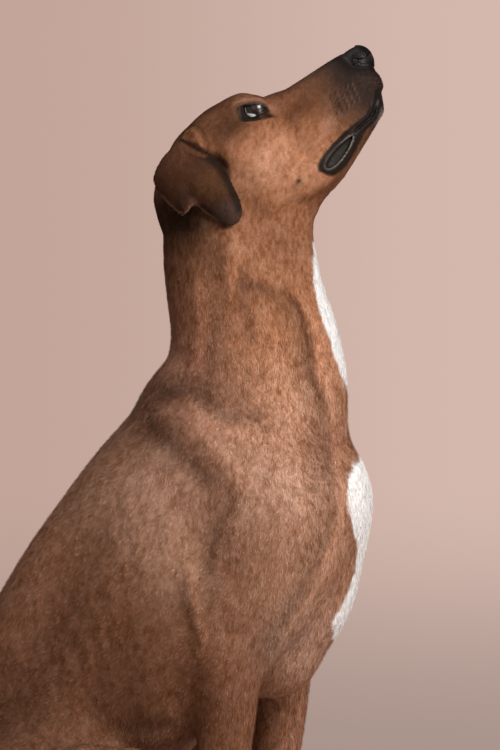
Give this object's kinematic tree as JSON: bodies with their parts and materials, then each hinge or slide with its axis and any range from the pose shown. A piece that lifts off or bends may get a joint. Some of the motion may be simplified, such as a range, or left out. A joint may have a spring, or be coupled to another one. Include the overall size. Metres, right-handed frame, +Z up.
{
  "type": "dog",
  "caption": "Life-size still model of a short-coated dog sitting upright with its head raised and ears hanging, for display on a floor.",
  "frame": {"origin": "on the floor under the middle of the bounding box", "axes": "+X forward, the way the chest faces; +Y to the dog's left; +Z up"},
  "size_m": [0.7414, 0.316, 0.9673],
  "materials": {
    "coat": "short smooth fur",
    "ear_coat": "short dark fur",
    "nose_leather": "moist pebbled skin",
    "eye": "wet dark cornea",
    "claw": "horn"
  },
  "bodies": {
    "root": {"head": "coat", "jaw": "coat", "nose": "nose_leather", "neck": "coat", "chest": "coat", "loin": "coat", "rump": "coat", "tail": "coat", "eye_left": "eye", "ear_left": "ear_coat", "foreleg_upper_left": "coat", "foreleg_lower_left": "coat", "forepaw_left": "coat", "hindleg_thigh_left": "coat", "hindleg_shank_left": "coat", "hindfoot_left": "coat", "claw_fore_left_1": "claw", "claw_fore_left_2": "claw", "claw_fore_left_3": "claw", "claw_fore_left_4": "claw", "claw_hind_left_1": "claw", "claw_hind_left_2": "claw", "claw_hind_left_3": "claw", "claw_hind_left_4": "claw", "eye_right": "eye", "ear_right": "ear_coat", "foreleg_upper_right": "coat", "foreleg_lower_right": "coat", "forepaw_right": "coat", "hindleg_thigh_right": "coat", "hindleg_shank_right": "coat", "hindfoot_right": "coat", "claw_fore_right_1": "claw", "claw_fore_right_2": "claw", "claw_fore_right_3": "claw", "claw_fore_right_4": "claw", "claw_hind_right_1": "claw", "claw_hind_right_2": "claw", "claw_hind_right_3": "claw", "claw_hind_right_4": "claw"}
  },
  "joints": []
}
